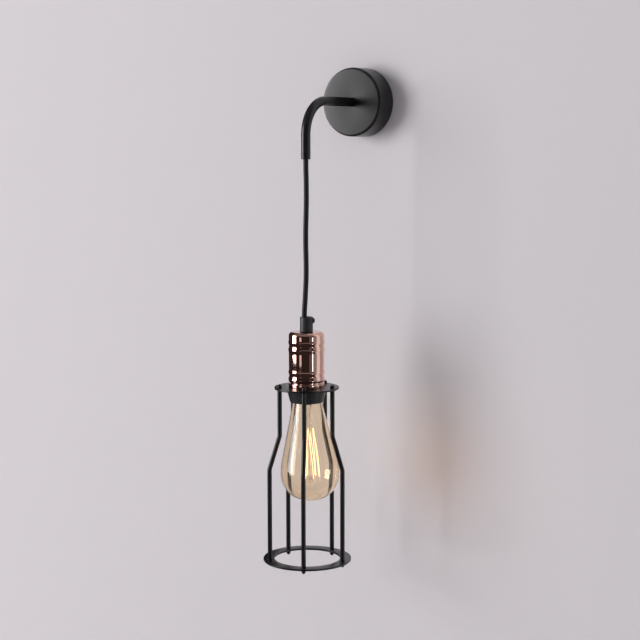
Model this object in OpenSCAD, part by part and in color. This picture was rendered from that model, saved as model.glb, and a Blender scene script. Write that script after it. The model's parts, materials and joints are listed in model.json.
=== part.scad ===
// Wall light: a round canopy and a bent arm carry a cage pendant on a free-hanging cord.
// Millimetres. The wall is the plane y = 0, the canopy's axis runs towards -Y through the origin,
// and everything that hangs is turned about the plumb line below the arm's mouth.

/* [Canopy] */
// Outer diameter of the canopy
canopy_d = 76; // [74:1:100]
// Distance from the wall to the canopy's face
canopy_depth = 27; // [26:0.5:36]
// Thickness of the canopy's pressed steel
canopy_wall = 1.2; // [0.8:0.1:1.6]
// Radius of the canopy's rolled front edge
canopy_edge = 2; // [1.5:0.1:5]
// Distance from the wall to the two side screws
side_screw_depth = 9; // [7:0.5:11]

/* [Arm] */
// Outer diameter of the bent tube
arm_d = 10; // [10:0.5:12]
// Distance from the wall to the plumb line of the pendant
arm_reach = 115; // [105:1:160]
// Centreline radius of the tube's bend
arm_bend = 37; // [25:1:50]
// Height of the tube's axis above its mouth
arm_drop = 62.5; // [58:0.5:90]

/* [Cord] */
// Diameter of the cord
cord_d = 5.5; // [5:0.1:5.6]

/* [Cord grip] */
// Diameter of the cord grip
grip_d = 14; // [14:0.5:16]
// Height of the cord grip
grip_h = 16; // [16:0.5:20]
// Diameter of the grip screw's domed head
grip_head_d = 6.9; // [6:0.1:7.2]
// Direction that the grip screw faces, from +X towards the wall
grip_azimuth = 34; // [0:1:359]

/* [Lamp holder] */
// Diameter of the metal cap
cap_d = 38.4; // [38:0.2:39]
// Height of the metal cap
cap_h = 55; // [55:0.5:60]
// Radius of the cap's rounded shoulder
cap_shoulder = 3.2; // [2:0.1:5]
// How far the rolled beads stand proud
bead_proud = 0.55; // [0.3:0.05:0.8]
// Diameter of the shade ring's flange
ring_flange_d = 43; // [42:0.5:46]
// Diameter of the shade ring's lower edge
ring_low_d = 36.2; // [36.2:0.1:38]
// Height of the shade ring
ring_h = 15.7; // [15:0.1:17]

/* [Cage] */
// Diameter of the cage's top plate
plate_d = 70; // [69:1:76]
// Diameter of the cage's bottom ring
hoop_d = 96; // [95:1:104]
// Opening of the cage's bottom ring
hoop_bore_d = 72; // [68:1:76]
// Thickness of plate and ring
plate_t = 2; // [1.6:0.1:2.5]
// Diameter of the cage rods
rod_d = 4.9; // [4:0.1:5.4]
// Number of cage rods
rod_count = 5; // [5:1:5]
// Turn of the first rod, from -Y towards +X
rod_phase = -42.7; // [-72:0.1:72]
// Radius of the circle that the rods stand on at the top plate
rod_top_r = 30; // [29:0.5:31]
// Radius of the circle that the rods stand on at the bottom ring
rod_low_r = 41.6; // [40:0.1:43]
// Drop from the top plate to the rods' upper bend
bend_top_drop = 52.5; // [48:0.5:56]
// Centreline radius of the rods' bends
rod_bend = 12; // [8:1:20]
// Drop from the top plate to the bottom ring
cage_h = 189.5; // [170:0.5:210]

/* [Bulb] */
// Widest diameter of the bulb
bulb_d = 64; // [62:0.5:64]
// Lean of the bulb in its holder, in degrees
bulb_lean = 2.2; // [0:0.1:2.4]
// Direction that the bulb leans to, from +X towards the wall
lean_azimuth = 34; // [0:1:359]
// Thickness of the glass
glass_t = 0.8; // [0.6:0.1:1]
// Number of filament strands
strands = 12; // [8:2:16]

/* [Hidden] */
$fn = 64;

// Heights of the hanging parts, all negative, measured from the arm's axis
mouth_z = -arm_drop;
grip_top_z = -231;
cap_top_z = grip_top_z - grip_h;
cap_low_z = cap_top_z - cap_h;
plate_top_z = cap_low_z - 5;
plate_low_z = plate_top_z - plate_t;
hoop_top_z = plate_top_z - cage_h;
ring_low_z = plate_low_z - ring_h;

// Lean of the rods' slanted stretch
rod_lean = 17.5732;

// Free play: radial running gap, and the play between faces of parts that turn on each other
running = 0.05;
face_play = 0.05;

// Radii inside the arm and on the pendant's threads
tube_bore_r = arm_d / 2 - 1;
cord_r = cord_d / 2;
nipple_bore_r = 3.1;
grip_bore_r = 5.05;
m10_r = 4.95;
skirt_thread_r = 17.4;
skirt_bore_r = 16.5;

// The cord's free stretch below the arm's mouth: [x, y] from the plumb line, and z
cord_route = [
    [0, 0, -70.5], [0, 0, -73], [0.2, 0.1, -82], [0.3, 0.2, -94], [0.3, 0.2, -106],
    [0.1, 0.1, -118], [-0.2, -0.1, -130], [-0.4, -0.2, -142], [-0.4, -0.2, -154],
    [-0.2, -0.1, -166], [-0.1, 0, -178], [-0.2, -0.1, -190], [-0.6, -0.4, -201],
    [-1.1, -0.7, -212], [-1.6, -1.1, -222], [-1.8, -1.2, -228.5], [-1.8, -1.2, -231]
];
// The cord's end, pressed aside by the grip screw and then led through the nipple
tail_route = [
    [-1.8, -1.2, -231], [-1.8, -1.2, -234], [-1.6, -1.1, -236.5], [-1, -0.7, -239],
    [-0.5, -0.3, -241], [-0.2, -0.1, -243], [0, 0, -246], [0, 0, -258]
];

// Bulb: heights on its own axis, and the arcs of its outline
bulb_wide_z = -402.5;
bulb_neck_z = -325;
bulb_neck_r = 15.9;
bulb_upper_arc = 67;
bulb_tip_flat = 2;
bulb_cap_low_z = -318.5;
bulb_cap_top_z = -298;
bulb_pivot_z = -312;
stem_low_z = -411;
hook_top_z = -352;

function add(a, b) = [for (i = [0:2]) a[i] + b[i]];
function unit(v) = v / norm(v);

// Point on a cubic curve that leaves p along a and arrives at q along b
function curve_point(p, a, b, q, t) =
    pow(1 - t, 3) * p + 3 * t * pow(1 - t, 2) * a + 3 * t * t * (1 - t) * b + pow(t, 3) * q;
function curve(p, a, b, q, steps) = [for (i = [0:steps]) curve_point(p, a, b, q, i / steps)];

// Direction of a route at its point i
function heading(route, i) =
    unit(route[min(i + 1, len(route) - 1)] - route[max(i - 1, 0)]);

// One ring of points, square to the route; `side` fixes where the ring starts, and left
// undefined it is the direction away from the plumb line
function ring_points(c, h, r, sides, side) =
    let (u = unit(cross(h, side)), v = cross(h, u))
    [for (j = [0:sides - 1]) c + r * cos(360 * j / sides) * u + r * sin(360 * j / sides) * v];

// A round bar along a route of points, closed at both ends
module swept(route, r, sides = 8, side = [0.13, 1, 0.21]) {
    n = len(route);
    points = [
        for (i = [0:n - 1])
            let (reference = is_undef(side) ? [route[i][0], route[i][1], 0] : side)
            each ring_points(route[i], heading(route, i), r, sides, reference)
    ];
    walls = [
        for (i = [0:n - 2]) for (j = [0:sides - 1])
            let (a = i * sides + j, b = i * sides + (j + 1) % sides)
            each [[a, b, b + sides], [a, b + sides, a + sides]]
    ];
    start = [for (j = [1:sides - 2]) [0, j + 1, j]];
    last = (n - 1) * sides;
    end = [for (j = [1:sides - 2]) [last, last + j, last + j + 1]];
    polyhedron(points = points, faces = concat(walls, start, end));
}

// Turns a shape's +Z towards the room, so that z is the distance from the wall
module off_wall() {
    rotate([90, 0, 0]) children();
}

module plumb() {
    translate([0, -arm_reach, 0]) children();
}

// Places a shape on a horizontal axis in the plumb frame, its +Z pointing to the azimuth
module sideways(azimuth, z) {
    translate([0, 0, z]) rotate([0, 0, azimuth]) rotate([0, 90, 0]) children();
}

// The bulb's own frame, leaning about a point inside its cap
module leaning() {
    plumb() translate([0, 0, bulb_pivot_z])
        rotate(a = -bulb_lean, v = [-sin(lean_azimuth), cos(lean_azimuth), 0])
            translate([0, 0, -bulb_pivot_z]) children();
}

// Tube or washer between two heights
module ring(r_out, r_in, z0, z1) {
    translate([0, 0, z0]) difference() {
        cylinder(r = r_out, h = z1 - z0);
        translate([0, 0, -1]) cylinder(r = r_in, h = z1 - z0 + 2);
    }
}

module disc(r, z0, z1) {
    translate([0, 0, z0]) cylinder(r = r, h = z1 - z0);
}

module hexagon(across, z0, z1) {
    translate([0, 0, z0]) cylinder(d = across / cos(30), h = z1 - z0, $fn = 6);
}

// Half outline of a cup with a rounded far edge
module cup_outline(r, h, edge) {
    square([r, h - edge]);
    square([r - edge, h]);
    translate([r - edge, h - edge]) circle(edge);
}

// Domed screw with a hexagon socket; its head's seat is at z = 0 and its shank runs to -Z
module domed_screw(head_r, head_h, shank_r, shank_l, socket) {
    dome_r = (head_r * head_r + head_h * head_h) / (2 * head_h);
    difference() {
        union() {
            rotate_extrude() intersection() {
                translate([0, head_h - dome_r]) circle(dome_r);
                square([head_r, head_h]);
            }
            disc(shank_r, -shank_l, 0.01);
        }
        hexagon(socket, head_h * 0.35, head_h + 1);
    }
}

// ---------------------------------------------------------------- canopy and what it hides

bracket_t = 1.5;
bracket_half_x = 33.7;
bracket_half_z = 9;
tab_half_z = 6.5;
tab_depth = 14;
slot_pitch = 50;
slot_r = 2.2;
slot_l = 9;
tongue_half_x = 8;
tongue_low_z = -27;
earth_x = -11;
m4_r = 1.95;

// Outline of the strap and its tongue, with its slots and tapped holes
module strap_outline() {
    difference() {
        union() {
            translate([-bracket_half_x, -bracket_half_z])
                square([2 * bracket_half_x, 2 * bracket_half_z]);
            translate([-tongue_half_x, tongue_low_z]) square([2 * tongue_half_x, -tongue_low_z]);
        }
        for (side = [-1, 1]) translate([side * slot_pitch / 2, 0]) {
            for (end = [-1, 1]) translate([end * (slot_l / 2 - slot_r), 0]) circle(slot_r);
            square([slot_l - 2 * slot_r, 2 * slot_r], center = true);
        }
        translate([earth_x, 0]) circle(m4_r + running);
        translate([block_screw_x, block_z]) circle(1.5);
    }
}

// One bent end, with the tapped hole for a side screw
module bracket_tab() {
    difference() {
        translate([bracket_half_x, -tab_depth, -tab_half_z])
            cube([bracket_t, tab_depth, 2 * tab_half_z]);
        translate([bracket_half_x - 5, -side_screw_depth, 0]) rotate([0, 90, 0])
            cylinder(r = m4_r + running, h = 10);
    }
}

module wall_bracket() {
    color("silver") {
        off_wall() linear_extrude(bracket_t) strap_outline();
        bracket_tab();
        mirror([1, 0, 0]) bracket_tab();
    }
}

module canopy() {
    r = canopy_d / 2;
    color([0.07, 0.07, 0.08]) difference() {
        off_wall() difference() {
            rotate_extrude() difference() {
                cup_outline(r, canopy_depth, canopy_edge);
                translate([0, -1])
                    cup_outline(r - canopy_wall, canopy_depth - canopy_wall + 1, canopy_edge - canopy_wall);
            }
            disc(tube_bore_r + 0.1, canopy_depth - canopy_wall - 1, canopy_depth + 1);
        }
        for (side = [-1, 1])
            translate([0, -side_screw_depth, 0]) rotate([0, side * 90, 0])
                translate([0, 0, 30]) cylinder(r = m4_r + 0.15, h = 12);
    }
}

module canopy_screws() {
    color([0.1, 0.1, 0.11]) for (side = [-1, 1])
        translate([0, -side_screw_depth, 0]) rotate([0, side * 90, 0])
            translate([0, 0, canopy_d / 2]) domed_screw(2.7, 1, m4_r, 6, 2);
}

module earth_screw() {
    color("gold") translate([earth_x, -2.3, 0]) off_wall() domed_screw(3.4, 2, m4_r, 2.1, 2);
}

// Tag under the earth screw: a washer, a short tail and a crimped barrel, turned aside by 40
module earth_tag() {
    color("gold") translate([earth_x, 0, 0]) off_wall() rotate([0, 0, -40]) {
        difference() {
            union() {
                disc(4, bracket_t, bracket_t + 0.8);
                translate([-1.5, -7, bracket_t]) cube([3, 5, 0.8]);
            }
            disc(m4_r + 0.1, 0, 4);
        }
        translate([0, -6.5, bracket_t + 1.9]) rotate([90, 0, 0]) ring(1.8, 1, 0, 4.5);
    }
}

// Terminal block: three brass-lined poles side by side on a moulded base
block_pitch = 9;
block_z = -20.5;
block_half_z = 8.5;
block_back = 1.55;
block_h = 9;
pole_h = 13.5;
block_screw_x = block_pitch / 2;
wire_depth = 7;

module terminal_block() {
    color("ivory") off_wall() difference() {
        union() {
            for (pole = [-1:1]) {
                translate([pole * block_pitch - 3.6, block_z - block_half_z, block_back])
                    cube([7.2, 2 * block_half_z, block_h - block_back]);
                for (end = [-1, 1])
                    translate([pole * block_pitch, block_z + end * 4.6, block_back])
                        cylinder(r = 3.1, h = pole_h - block_back);
            }
            translate([-block_pitch * 1.4, block_z - 3, block_back])
                cube([block_pitch * 2.8, 6, 4]);
        }
        for (pole = [-1:1]) {
            translate([pole * block_pitch, block_z + 20, wire_depth]) rotate([90, 0, 0])
                cylinder(r = 1.5, h = 40);
            for (end = [-1, 1])
                translate([pole * block_pitch, block_z + end * 4.6, wire_depth])
                    cylinder(r = 1.8, h = 20);
        }
        translate([block_screw_x, block_z, 0]) cylinder(r = 1.6, h = 20);
        translate([block_screw_x, block_z, block_back + 4]) cylinder(r = 2.2, h = 20);
    }
}

module terminal_screws() {
    color("silver") off_wall() for (pole = [-1:1]) for (end = [-1, 1])
        translate([pole * block_pitch, block_z + end * 4.6, wire_depth + 1.3]) difference() {
            cylinder(r = 1.7, h = 3.6);
            translate([-2, -0.3, 2.8]) cube([4, 0.6, 2]);
        }
}

module block_screw() {
    color("silver") translate([block_screw_x, -(block_back + 4), block_z])
        off_wall() domed_screw(2, 1.2, 1.4, 5.2, 1.2);
}

// Cores that leave the cord's sheath inside the canopy; `x` is the pole that each one runs to
core_r = 0.95;
sheath_end = 10;
module wall_core(x, turn) {
    start = [1.2 * sin(turn), -sheath_end, 1.2 * cos(turn)];
    end = [x, -wire_depth, block_z + block_half_z - 4];
    stub = start + [0, 1.2, 0];
    swept(concat([start], curve(stub, stub + [0, 5, 0], end + [0, 0, 9], end, 10)), core_r);
}

module wall_live_core() {
    color("saddlebrown") wall_core(-block_pitch, 300);
}

module wall_neutral_core() {
    color("steelblue") wall_core(block_pitch, 60);
}

module wall_earth_core() {
    color("yellowgreen") wall_core(0, 180);
}

// Link from the earth tag, round the block's side, to the outer end of its middle pole
link_route = [
    [-17.1, -3.4, -7.3], [-18.4, -3.4, -8.8], [-19.6, -3.4, -10.6], [-20.3, -3.5, -13],
    [-20.5, -3.7, -16], [-20.1, -4, -19], [-19.1, -4.3, -22], [-17.6, -4.7, -25],
    [-15.4, -5.1, -28], [-12.9, -5.5, -30.6], [-10, -5.9, -32.2], [-7, -6.3, -32.8],
    [-4, -6.7, -32.6], [-1.8, -6.9, -31.6], [-0.5, -7, -30.2], [0, -7, -28.5], [0, -7, -25]
];
module earth_link() {
    color("yellowgreen") swept(link_route, core_r);
}

// ---------------------------------------------------------------- arm

// A straight run from the wall side, a quarter bend and a straight drop, all of radius r
module arm_path(r, depth0, z_end) {
    off_wall() disc(r, depth0, arm_reach - arm_bend);
    translate([0, -(arm_reach - arm_bend), -arm_bend]) rotate([180, -90, 0])
        rotate_extrude(angle = 90) translate([arm_bend, 0]) circle(r);
    translate([0, -arm_reach, z_end]) cylinder(r = r, h = -arm_bend - z_end);
}

module arm_tube() {
    color([0.06, 0.06, 0.07]) difference() {
        arm_path(arm_d / 2, canopy_depth, mouth_z);
        arm_path(tube_bore_r, canopy_depth - 1, mouth_z - 1);
    }
}

nipple_inner_end = 16.6;
washer_t = 1.2;
nut_t = 4;
clamp_l = 9;

module arm_nipple() {
    color("silver") off_wall() ring(tube_bore_r - 0.02, nipple_bore_r, nipple_inner_end, canopy_depth + 8);
}

module arm_washer() {
    seat = canopy_depth - canopy_wall;
    color("silver") off_wall() ring(8, tube_bore_r + 0.1, seat - washer_t, seat);
}

module arm_nut() {
    seat = canopy_depth - canopy_wall - washer_t;
    color("silver") off_wall() difference() {
        hexagon(13, seat - nut_t, seat);
        disc(tube_bore_r, seat - nut_t - 1, seat + 1);
    }
}

module cord_clamp() {
    top = canopy_depth - canopy_wall - washer_t - nut_t;
    color("white") off_wall() difference() {
        union() {
            disc(6.5, top - clamp_l, top);
            translate([0, 0, top - clamp_l + 3.2]) rotate([0, 90, 0]) disc(2.8, 0, 8.5);
        }
        disc(tube_bore_r, nipple_inner_end, top + 1);
        disc(cord_r + 0.1, top - clamp_l - 1, nipple_inner_end + 1);
        translate([0, 0, top - clamp_l + 3.2]) rotate([0, 90, 0]) disc(1.6, 0, 10);
    }
}

module clamp_screw() {
    depth = canopy_depth - canopy_wall - washer_t - nut_t - clamp_l + 3.2;
    color("white") off_wall() translate([0, 0, depth]) rotate([0, 90, 0]) difference() {
        disc(1.55, cord_r + 0.05, 9);
        translate([-2, -0.3, 8.2]) cube([4, 0.6, 2]);
    }
}

bush_recess = 0.8;
bush_h = 8;
bush_flare = 2.2;
module mouth_bush() {
    r_in = cord_r + 0.3;
    color([0.09, 0.09, 0.09]) plumb() translate([0, 0, mouth_z + bush_recess])
        rotate_extrude() difference() {
            translate([r_in, 0]) square([tube_bore_r - 0.02 - r_in, bush_h]);
            difference() {
                translate([0, -1]) square([r_in + 0.65, 1 + bush_flare]);
                translate([r_in + bush_flare, bush_flare]) circle(bush_flare);
            }
        }
}

joint_gap = 0.35;
module cord_in_arm() {
    color([0.05, 0.05, 0.05]) arm_path(cord_r, sheath_end, mouth_z + cord_r + joint_gap);
}

// ---------------------------------------------------------------- cord
// The cord bends at the arm's mouth: its cores, lining and cover share one centre there

cover_bore_r = 2.35;
lining_r = 2.05;
lining_bore_r = 1.7;
cores_r = 1.4;

module cord_bend_cores() {
    color("saddlebrown") plumb() translate([0, 0, mouth_z]) sphere(cores_r);
}

module cord_bend_lining() {
    color("dimgray") plumb() translate([0, 0, mouth_z]) difference() {
        sphere(lining_r);
        sphere(lining_bore_r);
    }
}

module cord_bend_cover() {
    color([0.05, 0.05, 0.05]) plumb() difference() {
        union() {
            translate([0, 0, mouth_z]) sphere(cord_r);
            disc(cord_r, cord_route[0][2], mouth_z);
        }
        translate([0, 0, mouth_z]) sphere(cover_bore_r);
    }
}

module cord_drop() {
    color([0.05, 0.05, 0.05]) plumb() swept(cord_route, cord_r, 12);
}

module cord_tail() {
    color([0.05, 0.05, 0.05]) plumb() swept(tail_route, cord_r, 12);
}

// ---------------------------------------------------------------- cord grip and lamp holder

grip_screw_z = grip_top_z - 4;
grip_seat = grip_d / 2 - 0.6;
grip_head_h = 2.9;
thread_start_z = -242.5;

module cord_grip() {
    color([0.13, 0.13, 0.14]) plumb() difference() {
        translate([0, 0, cap_top_z]) rotate_extrude() difference() {
            square([grip_d / 2, grip_h]);
            translate([grip_d / 2 - 0.4, grip_h]) rotate([0, 0, -45]) square([2, 2]);
        }
        disc(grip_bore_r, thread_start_z, grip_top_z + 1);
        disc(m10_r + 0.02, cap_top_z - 1, thread_start_z);
        sideways(grip_azimuth, grip_screw_z) {
            cylinder(r = m4_r + running, h = 20);
            translate([0, 0, grip_seat]) cylinder(d = grip_head_d + 0.4, h = 5);
        }
    }
}

module grip_screw() {
    color([0.05, 0.05, 0.05]) plumb() sideways(grip_azimuth, grip_screw_z)
        translate([0, 0, grip_seat + face_play])
            domed_screw(grip_head_d / 2, grip_head_h, m4_r, grip_seat + face_play - 1.1, 2.5);
}

module grip_nipple() {
    color("silver") plumb() ring(m10_r, 3.6, -256, thread_start_z);
}

cap_t = 0.8;
module grip_nut() {
    color("silver") plumb() difference() {
        hexagon(14, cap_top_z - cap_t - 3.6, cap_top_z - cap_t);
        disc(m10_r + 0.02, cap_top_z - 10, cap_top_z);
    }
}

// A rolled bead standing proud of a wall of radius r
module bead(r, z) {
    back = 1.6;
    translate([r - back, z]) circle(back + bead_proud);
}

// A rolled groove sunk into a wall of radius r
module groove(r, z) {
    ahead = 1.3;
    translate([r + ahead, z]) circle(ahead + 0.4);
}

module holder_cap() {
    r = cap_d / 2;
    color([0.72, 0.42, 0.33]) plumb() rotate_extrude() difference() {
        union() {
            difference() {
                translate([0, cap_low_z]) cup_outline(r, cap_h, cap_shoulder);
                groove(r, -263.1);
                groove(r, -295.9);
            }
            for (z = [-259.2, -267.6, -292.3, -299.9]) bead(r, z);
        }
        translate([0, cap_low_z - 1]) cup_outline(r - cap_t - 0.2, cap_h + 1 - cap_t, cap_shoulder);
        translate([0, cap_top_z - 3]) square([m10_r + 0.02, 5]);
    }
}

skirt_top_z = -291;
skirt_low_z = ring_low_z + 3.7;
module holder_skirt() {
    color([0.72, 0.42, 0.33]) plumb() rotate_extrude() difference() {
        union() {
            translate([0, cap_low_z]) square([cap_d / 2 - cap_t - 0.22, skirt_top_z - cap_low_z]);
            translate([0, plate_top_z]) square([cap_d / 2 - 1.4, cap_low_z - plate_top_z]);
            translate([0, plate_top_z]) cup_outline(cap_d / 2, 3.2, 0.5);
            translate([0, skirt_low_z]) square([skirt_thread_r, plate_top_z - skirt_low_z]);
        }
        translate([0, skirt_low_z - 1]) square([skirt_bore_r, 60]);
    }
}

insert_top_z = -266;
insert_low_z = -295;
module holder_insert() {
    color("white") plumb() difference() {
        union() {
            disc(16.3, insert_low_z, insert_top_z - 6);
            disc(12.5, insert_top_z - 6, insert_top_z);
        }
        disc(11.5, insert_low_z - 1, insert_low_z + 5.5);
        disc(3.2, insert_top_z - 5, insert_top_z + 1);
        translate([-6, -1.4, insert_top_z - 6]) cube([12, 2.8, 7]);
        for (side = [0, 180]) rotate([0, 0, side])
            translate([5.2, -3.6, insert_top_z - 8]) cube([20, 7.2, 9]);
    }
}

module holder_sleeve() {
    color("ivory") plumb() ring(16.3, 14.6, -317, insert_low_z);
}

module thread_shell() {
    color("gold") plumb() {
        ring(14.4, 14, -316.5, insert_low_z);
        ring(14.4, 11.6, insert_low_z - 0.5, insert_low_z);
    }
}

module centre_contact() {
    seat = insert_low_z + 5.5;
    color("gold") plumb() {
        disc(3, seat - 0.8, seat);
        disc(1.6, bulb_tip_z + 0.15, seat - 0.8);
    }
}

// Brass blocks that hold the two live conductors in the insert's side pockets
module holder_terminals() {
    color("gold") plumb() for (side = [0, 180]) rotate([0, 0, side]) difference() {
        translate([6, -3, insert_top_z - 8]) cube([5.5, 6, 6.5]);
        translate([8.8, 0, insert_top_z - 5]) cylinder(r = 1.2, h = 6);
        translate([5, 0, insert_top_z - 4.5]) rotate([0, 90, 0]) cylinder(r = 1.1, h = 4);
    }
}

module terminal_clamps() {
    color("silver") plumb() for (side = [0, 180]) rotate([0, 0, side])
        translate([8.8, 0, insert_top_z - 1.5]) domed_screw(2, 1.2, 1.15, 2.2, 1.2);
}

// Cores from the cord's end at the top of the holder
module holder_core(turn, end) {
    start = [1.2 * cos(turn), 1.2 * sin(turn), tail_route[len(tail_route) - 1][2]];
    stub = start + [0, 0, -1];
    bend = curve(stub, stub + [0, 0, -4], end + [-4 * sign(end[0]), 0, 1], end, 10);
    plumb() swept(concat([start], bend), core_r);
}

module holder_live_core() {
    color("saddlebrown") holder_core(0, [6.2, 0, insert_top_z - 4.5]);
}

module holder_neutral_core() {
    color("steelblue") holder_core(180, [-6.2, 0, insert_top_z - 4.5]);
}

// The earth core ends in a small lug under the nut that holds the metal cap
module holder_earth_core() {
    start = [0, 1.65, tail_route[len(tail_route) - 1][2]];
    end = [0, 11, cap_top_z - cap_t - 1.1];
    stub = start + [0, 0, -1];
    color("yellowgreen") plumb()
        swept(concat([start], curve(stub, stub + [0, 1, -6], end + [0, 4, -7], end, 12)), core_r);
}

// Screwed ring that clamps the cage's top plate against the skirt's flange: a flat flange, then
// a cone down to a thin lip round the bulb's neck
module shade_ring() {
    flange_r = ring_flange_d / 2;
    low_r = ring_low_d / 2;
    top = plate_low_z - face_play;
    edge = 0.4;
    color([0.08, 0.08, 0.09]) plumb() difference() {
        union() {
            disc(flange_r, top - 2.2, top);
            translate([0, 0, ring_low_z + edge])
                cylinder(r1 = low_r, r2 = flange_r - edge, h = top - 2.2 - ring_low_z - edge);
            translate([0, 0, ring_low_z]) cylinder(r1 = low_r - edge, r2 = low_r, h = edge);
        }
        disc(skirt_thread_r + running, skirt_low_z - 0.3, top + 1);
        disc(skirt_bore_r + 0.7, ring_low_z - 1, skirt_low_z);
    }
}

// ---------------------------------------------------------------- cage

// Bullet-shaped end of a rod, standing on z = 0: a taper of height h under a matching dome
module rod_tip(r, h) {
    slope = 20;
    r_end = r - h * tan(slope);
    ball_r = r_end / cos(slope);
    cylinder(r1 = r, r2 = r_end, h = h);
    translate([0, 0, h]) rotate_extrude() intersection() {
        translate([0, -r_end * tan(slope)]) circle(ball_r);
        square([r_end + 0.01, ball_r]);
    }
}

module rod_seats(r, z0, z1) {
    for (i = [0:rod_count - 1]) rotate([0, 0, rod_phase + 360 * i / rod_count])
        translate([0, -r, 0]) disc(rod_d / 2 + 0.02, z0, z1);
}

module cage_plate() {
    color([0.07, 0.07, 0.08]) plumb() difference() {
        ring(plate_d / 2, skirt_thread_r + 0.3, plate_low_z, plate_top_z - face_play);
        rod_seats(rod_top_r, plate_low_z - 1, plate_top_z + 1);
    }
}

module cage_hoop() {
    color([0.07, 0.07, 0.08]) plumb() difference() {
        ring(hoop_d / 2, hoop_bore_d / 2, hoop_top_z - plate_t, hoop_top_z);
        rod_seats(rod_low_r, hoop_top_z - plate_t - 1, hoop_top_z + 1);
    }
}

// A bend of radius R from the origin, out of +Z towards +X; what follows starts at its end
module bend(R, angle, r) {
    translate([R, 0, 0]) rotate([90, 0, 180])
        rotate_extrude(angle = angle) translate([R, 0]) circle(r);
    translate([R, 0, 0]) rotate([0, angle, 0]) translate([-R, 0, 0]) children();
}

tip_above = 1;
tip_below = 1.6;
module cage_rod(i) {
    r = rod_d / 2;
    lead = rod_bend * tan(rod_lean / 2);
    shift = rod_bend * (1 - cos(rod_lean));
    slant_l = (rod_low_r - rod_top_r - 2 * shift) / sin(rod_lean);
    top_l = bend_top_drop - lead;
    low_l = cage_h + plate_t + tip_below - top_l - slant_l * cos(rod_lean)
        - 2 * rod_bend * sin(rod_lean);
    color([0.07, 0.07, 0.08]) plumb() rotate([0, 0, rod_phase + 360 * i / rod_count - 90])
        translate([rod_top_r, 0, plate_top_z]) {
            translate([0, 0, -top_l]) cylinder(r = r, h = top_l + tip_above);
            translate([0, 0, tip_above]) rod_tip(r, 0.8);
            translate([0, 0, -top_l]) rotate([180, 0, 0]) bend(rod_bend, rod_lean, r) {
                cylinder(r = r, h = slant_l);
                translate([0, 0, slant_l]) rotate([0, 0, 180]) bend(rod_bend, rod_lean, r) {
                    cylinder(r = r, h = low_l);
                    translate([0, 0, low_l]) rod_tip(r, 2);
                }
            }
        }
}

// ---------------------------------------------------------------- bulb

bulb_tip_z = -291.6;
neck_tube_r = 12.6;
neck_tube_top_z = -312;

// Angle at which the neck's straight line leaves the upper arc
function neck_slope() =
    let (
        dx = bulb_neck_r - (bulb_d / 2 - bulb_upper_arc),
        dz = bulb_neck_z - bulb_wide_z
    )
    atan2(dz, dx) - acos(bulb_upper_arc / norm([dx, dz]));

// Half outline of the glass, drawn in by t all round
module bulb_outline(t) {
    slope = neck_slope();
    r_wide = bulb_d / 2;
    low_arc = r_wide - bulb_tip_flat - t;
    up_arc = bulb_upper_arc - t;
    leave = [r_wide - bulb_upper_arc + up_arc * cos(slope), bulb_wide_z + up_arc * sin(slope)];
    shoulder_z = bulb_cap_low_z - 2.6;
    shoulder_r = bulb_neck_r - tan(slope) * (shoulder_z - bulb_neck_z) - t / cos(slope);
    intersection() {
        translate([bulb_tip_flat, bulb_wide_z]) circle(low_arc, $fn = 96);
        translate([0, bulb_wide_z - r_wide]) square([r_wide, r_wide]);
    }
    translate([0, bulb_wide_z - low_arc]) square([bulb_tip_flat, low_arc]);
    intersection() {
        translate([r_wide - bulb_upper_arc, bulb_wide_z]) circle(up_arc, $fn = 192);
        translate([0, bulb_wide_z]) square([r_wide, leave[1] - bulb_wide_z]);
    }
    polygon([[0, leave[1]], leave, [shoulder_r, shoulder_z], [0, shoulder_z]]);
    intersection() {
        translate([neck_tube_r - t, shoulder_z]) circle(shoulder_r - neck_tube_r + t);
        translate([0, shoulder_z]) square([20, 20]);
    }
    translate([0, shoulder_z]) square([neck_tube_r - t, neck_tube_top_z - shoulder_z]);
}

module bulb_glass() {
    color([0.9, 0.7, 0.45, 0.5]) leaning() rotate_extrude($fn = 96) difference() {
        bulb_outline(0);
        bulb_outline(glass_t);
        translate([0, neck_tube_top_z - glass_t - 1]) square([neck_tube_r - glass_t, 3]);
    }
}

module bulb_cap() {
    r = 13.1;
    t = 0.3;
    color("silver") leaning() rotate_extrude() difference() {
        union() {
            translate([0, bulb_cap_low_z]) square([r, 17.5]);
            translate([0, bulb_cap_low_z]) square([r + 0.3, 1]);
            polygon([[0, bulb_cap_low_z + 17.5], [r, bulb_cap_low_z + 17.5], [9, bulb_cap_top_z],
                [0, bulb_cap_top_z]]);
        }
        translate([0, bulb_cap_low_z - 1]) square([r - t, 18.3]);
        polygon([[0, bulb_cap_low_z + 17], [r - t, bulb_cap_low_z + 17.3], [9 - t, bulb_cap_top_z + 0.01],
            [0, bulb_cap_top_z + 0.01]]);
    }
}

module bulb_insulator() {
    color([0.1, 0.1, 0.12]) leaning() rotate_extrude() difference() {
        union() {
            polygon([[0, bulb_cap_top_z - 1.5], [8.65, bulb_cap_top_z - 1.5], [8.65, bulb_cap_top_z],
                [5.2, -294.2], [0, -294.2]]);
        }
        translate([0, -300]) square([1, 10]);
    }
}

module bulb_contact() {
    color("silver") leaning() {
        translate([0, 0, -294.2]) rotate_extrude() intersection() {
            translate([0, 2.6 - 6.1]) circle(6.1);
            square([4.9, 2.6]);
        }
    }
}

// Glass stem: a flare sealed in the neck, a rod down the middle and a button at its end
module bulb_stem() {
    flare_r = neck_tube_r - glass_t;
    color([0.9, 0.75, 0.5, 0.6]) leaning() {
        rotate_extrude()
            polygon([[0, -320.8], [flare_r - 0.05, -320.8], [flare_r - 0.05, -322], [6, -322.6],
                [3.2, -336], [1.6, -342], [1.6, stem_low_z], [0, stem_low_z]]);
        translate([0, 0, stem_low_z]) sphere(2.6);
    }
}

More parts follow.
